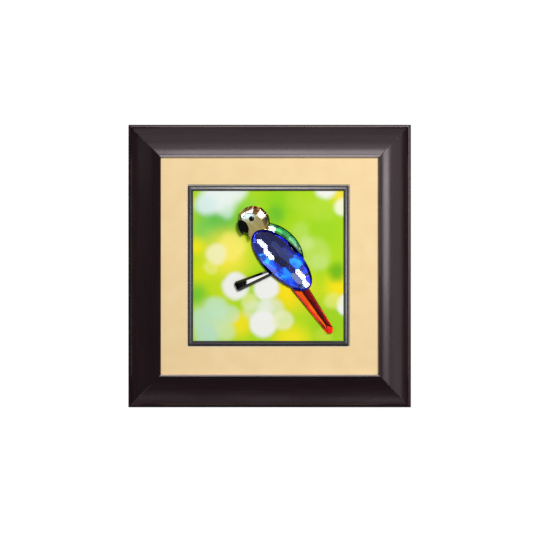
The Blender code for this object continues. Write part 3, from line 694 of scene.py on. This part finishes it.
head = {
    "outline": [
        (-31.8, 48.6), (-30.7, 56.3), (-24.3, 62.1), (-16.3, 64.2), (-7.4, 62.0), (-1.1, 56.1),
        (1.0, 51.6), (1.8, 45.2), (-0.1, 38.3), (-1.9, 38.5), (-7.2, 38.7), (-11.6, 37.7),
        (-15.1, 35.4), (-17.3, 31.9), (-18.2, 28.5), (-19.2, 28.6), (-21.5, 35.2), (-21.0, 37.3),
        (-20.8, 38.8), (-20.9, 40.0), (-21.5, 42.0), (-22.9, 44.7), (-24.8, 46.9), (-27.4, 48.4),
        (-29.1, 48.7),
    ],
    "rimCorners": 9, "rimAngles": (66, 58, 47, 46, 46, 48, 52, 56), "girdle": 3.2, "backEdge": 0.35,
    "table": [(-30.0, 48.7), (-23.8, 55.2), (-16.9, 55.4), (-12.8, 53.8), (-7.1, 49.3), (-3.0, 38.6)],
    "tableLevel": 9.2, "tableAngles": (27, 27, 27, 27, 27), "edge": 0.00035,
    # The pale ground is the topaz. The cream seam tint gives painted highlight lines, and the brown facets
    # round the edge and the brown seams along the top are painted shade on the amber glass
    "steep": 44, "ground": (240, 232, 156), "rim": (165, 104, 40), "seam": (255, 250, 226),
    "foil": (240, 228, 200),
    "facets": [
        (-24, 60, 8, (150, 96, 40)), (-16, 62, 6, (120, 66, 24)), (-8, 60, 6, (140, 84, 30)),
        (-2, 54, 6, (190, 130, 40)), (0, 46, 6, (210, 150, 30)), (-30, 54, 4, (170, 110, 50)),
        (-12, 58.5, 3.5, (150, 84, 24)), (-3.5, 47, 4, (70, 50, 24)),
    ],
    "seamPaintedShade": [
        (-27, 52, 3.6, (80, 50, 30)), (-20.4, 55.3, 4, (80, 50, 30)), (-24.2, 57.5, 3, (70, 44, 26)),
    ],
}


def makeHead():
    piece = makeBlank("topaz_head", head["outline"], head["tableLevel"])
    rim = head["outline"][:head["rimCorners"]]
    grindRing(head["table"], head["tableLevel"], head["tableAngles"])
    grindRing(rim, head["girdle"], head["rimAngles"])
    grindBack(head, rim)
    return finishStone(piece, head["edge"])


body = {
    "middle": -11.7, "length": 71.5, "width": 54.4, "rimSides": 34, "crownSides": 22, "level": 8.2,
    "girdle": 2.7, "rimAngle": 36, "crownInset": 3.9, "crownLevel": 5.4, "crownAngle": 24,
    "innerEdge": 12.0, "tipLimit": 14.5, "gap": 0.3, "backEdge": 0.35, "edge": 0.0003,
    # The green ground is the glass. The near-white facets and pale rim tints are painted highlights, and the
    # dark rim tints and dark seams painted shade
    "cutterDepth": 20, "cutterShift": 5, "ground": (110, 220, 140), "seam": (10, 50, 24),
    "foil": (245, 255, 245), "steep": 33, "rimLength": 4.2,
    "rimTintsAndPaintedLight": [(14, 60, 32), (150, 235, 180), (8, 40, 22), (40, 130, 70), (200, 248, 216), (10, 46, 26)],
    "facets": [
        (2, 41.5, 5, (230, 250, 236)), (11, 38.5, 4.5, (84, 200, 110)), (16.5, 34.5, 4, (110, 215, 135)),
        (21.5, 30, 4, (70, 180, 95)), (25.5, 25, 4, (150, 232, 170)), (29.5, 19.5, 4, (210, 246, 222)),
        (32.5, 14.5, 4, (235, 250, 240)),
    ],
}


def makeBody():   # the crescent of a larger oval, cut away where the wing and the head stand
    rim = oval(body["middle"], body["length"], body["width"], body["rimSides"])
    inset = 2 * body["crownInset"]
    crown = oval(
        body["middle"], body["length"] - inset, body["width"] - inset, body["crownSides"], start=0.5
    )
    piece = makeBlank("green_body", rim, body["level"])
    grindRing(crown, body["crownLevel"], [body["crownAngle"]] * len(crown), closed=True)
    grindRing(rim, body["girdle"], [body["rimAngle"]] * len(rim), closed=True)
    grindBack(body, rim, closed=True)
    middleX, middleZ = wing["centre"]
    cuts = ((0, body["innerEdge"], 0, -1), (body["tipLimit"], 0, 1, 0))
    for along, across, outAlong, outAcross in cuts:
        outX, outZ = wingPlace(outAlong, outAcross)
        grind((*wingPlace(along, across), 0), (outX - middleX, outZ - middleZ), 90)
    leaveEdit()
    for name, outline in (("wing", wingOval(body["gap"])), ("head", head["outline"])):
        cutter = makeBlank("body_cutter_" + name, outline, body["cutterDepth"])
        bpy.ops.transform.translate(value=(0, body["cutterShift"] * mm, 0))
        leaveEdit()
        cut = piece.modifiers.new(name, "BOOLEAN")
        cut.operation = "DIFFERENCE"
        cut.object = cutter
        applyModifiers(piece)
        bpy.data.objects.remove(cutter)
    return finishStone(piece, body["edge"])


tail = {
    # The orange ground and crimson rim are the glass. The dark maroon facets on the right side are painted
    # shade
    "edge": 0.00014, "ground": (255, 112, 0), "rim": (225, 10, 36), "seam": (200, 20, 20),
    "foil": (255, 245, 235), "steep": 33,
    "redEdge": (48.2, -50.07, 4.02), "redEdgeOut": (-0.7745, -0.6329), "redEdgeAngle": 38,
    "facets": [
        (47.5, -38.8, 2.2, (96, 2, 18)), (57.8, -49.2, 4, (80, 0, 14)), (58, -46, 4, (80, 0, 14)),
        (65.3, -68.2, 4, (240, 40, 20)),
    ],
}


def makeTail():
    piece = copyNode("tail_crystal", "red_tail")
    edit(piece)
    grind(tail["redEdge"], tail["redEdgeOut"], tail["redEdgeAngle"])
    return finishStone(piece, tail["edge"])


narrowFace = 2.2   # a face less than this many edge widths across is the polish between two facets


# Each face's tint is the glass's own colour with painted light on it: pale and white faces are painted
# highlights, dark and black faces painted shade
def paintFacetTintsAndLight(piece, stone):   # each face takes one shade of glass, from the last place within reach
    layer = piece.data.color_attributes.new(name="shade", type="FLOAT_COLOR", domain="CORNER")
    slope = -math.cos(math.radians(stone["steep"]))
    for face in piece.data.polygons:
        corners = [piece.data.vertices[index].co for index in face.vertices]
        around = sum((a - b).length for a, b in zip(corners, corners[1:] + corners[:1]))
        x = (face.center.x - windowCentre.x) / mm
        z = (face.center.z - windowCentre.z) / mm
        # Narrow polish faces take seam tints: pale ones are painted highlight lines, dark ones painted shade
        # lines. Steep rim faces take rim tints and spots: painted light and painted shade on the glass's
        # colour
        if 2 * face.area / around < stone["edge"] * narrowFace:
            shade, places = stone["seam"], stone.get("seamPaintedShade", [])
        elif face.normal.y <= slope:
            shade, places = stone["ground"], stone["facets"]
        elif "rimTintsAndPaintedLight" in stone:
            shade = stone["rimTintsAndPaintedLight"][int((x - z) / stone["rimLength"]) % len(stone["rimTintsAndPaintedLight"])]
            places = []
        else:
            shade, places = stone["rim"], stone.get("rimPaintedShade", [])
        for placeX, placeZ, reach, nearShade in places:
            if math.hypot(x - placeX, z - placeZ) < reach:
                shade = nearShade
        for loop in face.loop_indices:
            layer.data[loop].color = color(*shade)


# The long inner glints: their shade and how strongly they show. Then cells a metre, and the chance from
# which a cell shows one
glints = {
    "blue_wing_glass": ((4, 12, 120), 0.85), "topaz_head_glass": ((160, 140, 92), 0.2),
    "green_body_glass": ((24, 96, 50), 0.6), "red_tail_glass": ((170, 8, 20), 0.4),
}
glintCells = {"along": 115.0, "across": 330.0, "chanceLow": 0.55, "chanceHigh": 0.65}


def makeCrystal(name):
    material, shader, start = startMaterial(name, roughness=0.0, transmission=1.0, ior=1.55)
    # The per-face tints, with their painted highlights and painted shade, give the glass its base colour
    shade = start.add("ShaderNodeAttribute", {"attribute_name": "shade"})
    glintShade, share = glints[name]
    turn = math.radians(wing["turn"])
    x, z = objectPlace(start).acrossAndUp()
    along = (x * math.cos(turn) + z * math.sin(turn)) * glintCells["along"]
    across = (z * math.cos(turn) - x * math.sin(turn)) * glintCells["across"]
    spread = start.add("ShaderNodeCombineXYZ", None, {0: along, 1: across})
    cells = start.add("ShaderNodeTexVoronoi", {"feature": "F1"}, {"Vector": spread, "Scale": 1.0}, 1)
    chance = start.add("ShaderNodeSeparateColor", None, {0: cells})
    glint = chance.smooth(glintCells["chanceLow"], glintCells["chanceHigh"])
    connect(shader, base=shade.blend(color(*glintShade), glint * share))
    return material


def makeFoil(name, shade):
    return startMaterial(name, base=color(*shade), metallic=1.0, roughness=0.03)[0]


backFacing = 0.2   # how far a face has to turn to the wall to carry the foil


def setStone(piece, stone, nodeName):   # glass in front, a mirror foil behind
    paintFacetTintsAndLight(piece, stone)
    handOver(piece, makeCrystal(piece.name + "_glass"), nodeName)
    piece.data.materials.append(makeFoil(piece.name + "_foil", stone["foil"]))
    for face in piece.data.polygons:
        if face.normal.y > backFacing:
            face.material_index = 1


espresso = makeEspresso()
charcoal = makeCharcoal()
for side in ("top", "bottom", "left", "right"):
    handOver(makeRail(side), espresso, "frame_rail_" + side)
    handOver(makeSlip(side), charcoal, "liner_" + side)
print("rails and slips made")

setStone(makeWing(), wing, "wing_crystal")
setStone(makeHead(), head, "head_crystal")
setStone(makeBody(), body, "body_crystal")
setStone(makeTail(), tail, "tail_crystal")


def makeJet():
    material, shader, start = startMaterial("jet_glass", base=color(3, 3, 4), specular=0.5)
    film = objectPlace(start).noise(900.0, 3.0)
    connect(shader, roughness=film.smooth(0.3, 0.7, 0.0, 0.02))
    return material


def widenAcross(piece, scale):   # wider in the picture's plane, no deeper
    places = [vertex.co for vertex in piece.data.vertices]
    middle = sum(places, Vector()) / len(places)
    for place in places:
        place.x = middle.x + (place.x - middle.x) * scale
        place.z = middle.z + (place.z - middle.z) * scale


# Black pieces: name, edge, and how much wider the piece is shown
jetPieces = {
    "beak": ("jet_beak", 0.00025, 1.0), "perch_bar": ("jet_perch", 0.00020, 1.0),
    "eye_bead": ("jet_eye", 0.00015, 1.28),
}
jet = makeJet()
for nodeName, (pieceName, edge, scale) in jetPieces.items():
    piece = copyNode(nodeName, pieceName)
    if scale > 1:
        widenAcross(piece, scale)
    softenEdges(piece, edge, angle=12)
    handOver(piece, jet, nodeName)
print("crystals made")


# The fittings behind

def makeHardboard():
    material, shader, start = startMaterial("hardboard_brown", specular=0.25)
    place = objectPlace(start)
    fibre = place.noise(700.0, 5.0, 0.7)
    mesh = place.vector("MULTIPLY", (900.0, 900.0, 900.0)).noise(1.0, 1.0)
    base = start.fill(color(132, 94, 60)).blend(color(98, 66, 40), fibre.smooth(0.4, 0.75))
    base = base.blend(color(160, 120, 82), mesh.smooth(0.6, 0.8))
    connect(
        shader, base=base, roughness=fibre.smooth(0.3, 0.7, 0.7, 0.85),
        normal=bump(start, fibre, 0.4, 0.0001),
    )
    return material


def makeZinc():
    material, shader, start = startMaterial("zinc_plate", metallic=1.0)
    place = objectPlace(start)
    spangle = place.noise(350.0, 2.0)
    scratch = place.vector("MULTIPLY", (4000.0, 600.0, 300.0)).noise(1.0, 3.0)
    base = start.fill(color(186, 188, 188)).blend(color(150, 154, 156), spangle.smooth(0.35, 0.65))
    connect(
        shader, base=base, roughness=scratch.smooth(0.3, 0.7, 0.28, 0.45),
        normal=bump(start, scratch, 0.1, 0.00002),
    )
    return material


def makeBrass():
    material, shader, start = startMaterial("brass_pin", metallic=1.0)
    tarnish = objectPlace(start).noise(1200.0, 3.0)
    base = start.fill(color(206, 172, 104)).blend(color(160, 122, 66), tarnish.smooth(0.4, 0.7))
    connect(shader, base=base, roughness=tarnish.smooth(0.3, 0.7, 0.22, 0.4))
    return material


def makeFelt():
    material, shader, start = startMaterial("dark_felt", sheen=0.4, sheenRoughness=0.5, specular=0.1)
    nap = objectPlace(start).noise(2200.0, 4.0, 0.7)
    base = start.fill(color(38, 36, 36)).blend(color(72, 70, 68), nap.smooth(0.45, 0.75))
    connect(
        shader, base=base, roughness=nap.smooth(0.3, 0.7, 0.9, 1.0),
        normal=bump(start, nap, 0.6, 0.0002),
    )
    return material


zinc = makeZinc()
brass = makeBrass()
felt = makeFelt()
fittingShade = 40   # degrees up to which a fitting's faces are shaded as one
fittings = {
    "hanger": ("sawtooth_plate", "zinc_steel", zinc, 0.00012),
    "hanger_nail_left": ("hanger_pin_left", "brass_nail", brass, 0.00015),
    "hanger_nail_right": ("hanger_pin_right", "brass_nail", brass, 0.00015),
    "bumper_left": ("felt_pad_left", "dark_felt", felt, 0.0003),
    "bumper_right": ("felt_pad_right", "dark_felt", felt, 0.0003),
    "back_tab_top": ("back_clip_top", "zinc_steel", zinc, 0.0001),
    "back_tab_bottom": ("back_clip_bottom", "zinc_steel", zinc, 0.0001),
    "back_tab_left": ("back_clip_left", "zinc_steel", zinc, 0.0001),
    "back_tab_right": ("back_clip_right", "zinc_steel", zinc, 0.0001),
}
for nodeName, (pieceName, slotName, material, edge) in fittings.items():
    piece = copyNode(nodeName, pieceName)
    softenEdges(piece, edge)
    smoothShade(piece, fittingShade)
    handOver(piece, material, nodeName)
print("back fittings made")

plainFinishes = {"mat_board": makeCream(), "print_panel": makePrint(), "back_board": makeHardboard()}
for nodeName, material in plainFinishes.items():
    nodes[nodeName].data.materials.clear()
    nodes[nodeName].data.materials.append(material)
print("boards finished")


# Stage, light and camera

stage = {
    "floorDrop": 1.3, "floorSize": 6.0, "distance": 5.0, "shiftX": -0.00334, "shiftZ": -0.00048,
    "mmPerPixel": 1.0616, "pixels": 533, "clipEnd": 50, "surround": (0.12, 0.12, 0.125, 1),
}


def makeFloor():
    deselectAll()
    level = cadLow.z - stage["floorDrop"]
    bpy.ops.mesh.primitive_plane_add(size=stage["floorSize"], location=(0, 0, level))
    floor = bpy.context.object
    floor.name = "floor"
    material, shader, start = startMaterial("pale_floor", base=(0.9, 0.9, 0.9, 1), roughness=0.9)
    floor.data.materials.append(material)
    floor.visible_diffuse = False   # so that the floor casts nothing on the picture
    floor.visible_glossy = False
    floor.visible_transmission = False


def makeWorld():
    world = bpy.data.worlds.new("studio")
    bpy.context.scene.world = world
    world.use_nodes = True
    tree = world.node_tree
    background = tree.nodes["Background"]
    start = Wire(tree)
    seen = start.add("ShaderNodeLightPath")   # white to the camera, grey to the pieces
    shade = start.fill(stage["surround"]).blend((1, 1, 1, 1), seen)
    tree.links.new(shade.socket, background.inputs["Color"])


def addSoftbox(name, place, aim, width, height, radiance, pieceNames):   # lights the named pieces only
    lamp = bpy.data.lights.new(name, "AREA")
    lamp.shape = "RECTANGLE"
    lamp.size = width
    lamp.size_y = height
    lamp.energy = radiance * math.pi * width * height
    lamp.color = lampTints.get(name, (1, 1, 1))
    box = bpy.data.objects.new(name, lamp)
    bpy.context.collection.objects.link(box)
    box.location = place
    box.rotation_mode = "QUATERNION"
    box.rotation_quaternion = (place - aim).normalized().to_track_quat("Z", "Y")
    box.visible_camera = False
    receivers = bpy.data.collections.new(name + " receivers")
    for pieceName in pieceNames:
        receivers.objects.link(bpy.data.objects[pieceName])
    box.light_linking.receiver_collection = receivers


def direction(azimuth, elevation):   # from the picture to a lamp: azimuth to the right, elevation up
    turn = math.radians(azimuth)
    rise = math.radians(elevation)
    return Vector((math.sin(turn) * math.cos(rise), -math.cos(turn) * math.cos(rise), math.sin(rise)))


# The studio's boxes: azimuth, elevation, distance, width, height, radiance
studio = {
    "key right": (62, 54, 1.6, 0.75, 0.75, 14), "key left": (-52, 44, 1.6, 0.8, 0.8, 8),
    "low right": (50, -38, 1.6, 0.8, 0.8, 2), "low left": (-50, -38, 1.6, 0.8, 0.8, 2),
    "back right": (145, 38, 1.6, 0.9, 0.9, 12), "back left": (-140, 24, 1.6, 0.9, 0.9, 9),
}
# Boxes for single pieces: aim x and z, azimuth, elevation, distance, width, height, radiance, pieces
pieceBoxes = {
    "board key": (0, -0.136, 19, 22, 1.6, 0.42, 0.42, 39.5, ("mat_board", "print_panel")),
    "board left": (0, -0.136, -38, 16, 1.6, 0.8, 0.8, 1.8, ("print_panel",)),
    "board low": (0, -0.136, 30, -24, 1.6, 0.8, 0.8, 1.8, ("print_panel",)),
    "mat low": (0, -0.136, 0, -22, 1.6, 0.5, 0.5, 3, ("mat_board",)),
    "top rail box": (0.06, -0.01, 5, 14, 0.7, 0.56, 0.24, 7.5, ("rail_top",)),
    "top rail glow": (0.02, -0.01, 8, -12, 0.9, 0.8, 0.34, 1.4, ("rail_top",)),
    "top rail low": (0.02, -0.01, 8, -38, 1.0, 0.8, 0.5, 0.8, ("rail_top",)),
    "right rail band": (0.128, -0.02, 2, 0, 0.5, 0.19, 0.28, 5.5, ("rail_right",)),
    "right rail long band": (0.128, -0.11, 2, 0, 0.55, 0.2, 0.46, 2.1, ("rail_right",)),
    "right rail side": (0.128, -0.136, -40, 0, 0.8, 0.65, 0.8, 0.9, ("rail_right",)),
    "slip top box": (0, -0.05, 0, 0, 0.5, 0.13, 0.4, 20, ("slip_top",)),
    "slip left box": (-0.08, -0.136, 0, 0, 0.5, 0.4, 0.13, 7, ("slip_left",)),
    "slip right box": (0.08, -0.13, 0, 0, 0.5, 0.4, 0.13, 12, ("slip_right",)),
    "slip bottom box": (0, -0.22, 0, 0, 0.5, 0.13, 0.4, 2, ("slip_bottom",)),
    "bird tent": (0, -0.136, 0, 0, 2.2, 6.0, 6.0, 0.36, ("blue_wing", "topaz_head", "green_body")),
    "floor box": (0, -0.136, 0, 88, 2.6, 6.0, 6.0, 2.4, ("floor",)),
    "top rail under": (0, 0, 0, -82, 1.2, 1.5, 1.5, 0.6, ("rail_top",)),
    "left rail box": (-0.133, -0.03, 34, 14, 0.7, 0.7, 0.3, 0.42, ("rail_left",)),
}
# Small cards that put a shine on a piece: azimuth, elevation, width and height in degrees, radiance, piece
cardDistance = 1.6
cards = {
    "wing left": (-18.5, 3.5, 8, 22, 20, "blue_wing"), "wing right": (22.8, -9.5, 8, 22, 20, "blue_wing"),
    "wing strip": (9.2, -23, 7, 20, 3.5, "blue_wing"), "wing glow": (18, 20, 36, 27, 1.5, "blue_wing"),
    "wing side glow": (-18, -10, 18, 13, 1.5, "blue_wing"),
    "wing rim glow": (-50, -50, 34, 30, 3, "blue_wing"),
    "forehead": (-44.9, 33.9, 7, 7, 20, "topaz_head"), "crown": (-2.3, 54, 9, 8, 20, "topaz_head"),
    "back of head": (40.4, 39.4, 8, 8, 20, "topaz_head"),
    "nape": (17.4, 46, 6, 6, 20, "green_body"), "back": (47.5, 11, 7, 12, 20, "green_body"),
    "body glow": (-30, -30, 44, 40, 1.1, "green_body"), "eye": (14, 10, 20, 20, 7, "jet_eye"),
    "tail glow": (19, 14, 16, 18, 1.0, "red_tail"), "tail edge glow": (29, 28, 16, 14, 1.3, "red_tail"),
    "tail tip glow": (-13, 16, 14, 14, 1.3, "red_tail"),
    "tail side glow": (-27, -14, 16, 16, 1.2, "red_tail"),
}
# Cards straight in front, mirrored in the level faces: x and z from the frame's middle, distance, width,
# height, radiance, piece
nearCards = {
    "perch strip": (0.037, -0.026, 1.6, 0.136, 0.068, 22, "jet_perch"),
    "brow card": (-0.05, 0.086, 1.5, 0.056, 0.04, 6.5, "topaz_head"),
}
lampTints = {"brow card": (0.13, 0.27, 1.0), "wing glow": (0.28, 0.46, 1.0)}   # the rest are white


def hangLights():
    boards = (nodes["print_panel"].name, nodes["mat_board"].name)
    meshes = [piece.name for piece in bpy.context.scene.objects if piece.type == "MESH"]
    others = [pieceName for pieceName in meshes if pieceName not in boards]
    withoutBody = [pieceName for pieceName in others if pieceName != "green_body"]
    for name, (azimuth, elevation, distance, width, height, radiance) in studio.items():
        place = frameMiddle + direction(azimuth, elevation) * distance
        lit = withoutBody if name == "key right" else others
        addSoftbox(name, place, frameMiddle, width, height, radiance, lit)
    for name, (x, z, azimuth, elevation, distance, width, height, radiance, lit) in pieceBoxes.items():
        aim = Vector((x, cadLow.y, z))
        place = aim + direction(azimuth, elevation) * distance
        names = [nodes[pieceName].name if pieceName in nodes else pieceName for pieceName in lit]
        addSoftbox(name, place, aim, width, height, radiance, names)
    for name, (azimuth, elevation, wide, high, radiance, pieceName) in cards.items():
        place = frameMiddle + direction(azimuth, elevation) * cardDistance
        width, height = (2 * cardDistance * math.tan(math.radians(size / 2)) for size in (wide, high))
        addSoftbox(name, place, frameMiddle, width, height, radiance, [pieceName])
    for name, (x, z, distance, width, height, radiance, pieceName) in nearCards.items():
        aim = Vector((x, 0, frameMiddle.z + z))
        place = aim + Vector((0, -distance, 0))
        addSoftbox(name, place, aim, width, height, radiance, [pieceName])


def makeCamera():
    lens = bpy.data.cameras.new("camera")
    camera = bpy.data.objects.new("camera", lens)
    bpy.context.collection.objects.link(camera)
    bpy.context.scene.camera = camera
    camera.location = (stage["shiftX"], cadLow.y - stage["distance"], frameMiddle.z + stage["shiftZ"])
    camera.rotation_euler = (math.radians(90), 0, 0)
    lens.lens = lens.sensor_width * stage["distance"] / (stage["pixels"] * stage["mmPerPixel"] * mm)
    lens.clip_end = stage["clipEnd"]


makeFloor()
makeWorld()
hangLights()
makeCamera()
bpy.context.scene.view_settings.view_transform = "Standard"
print("light and camera set")
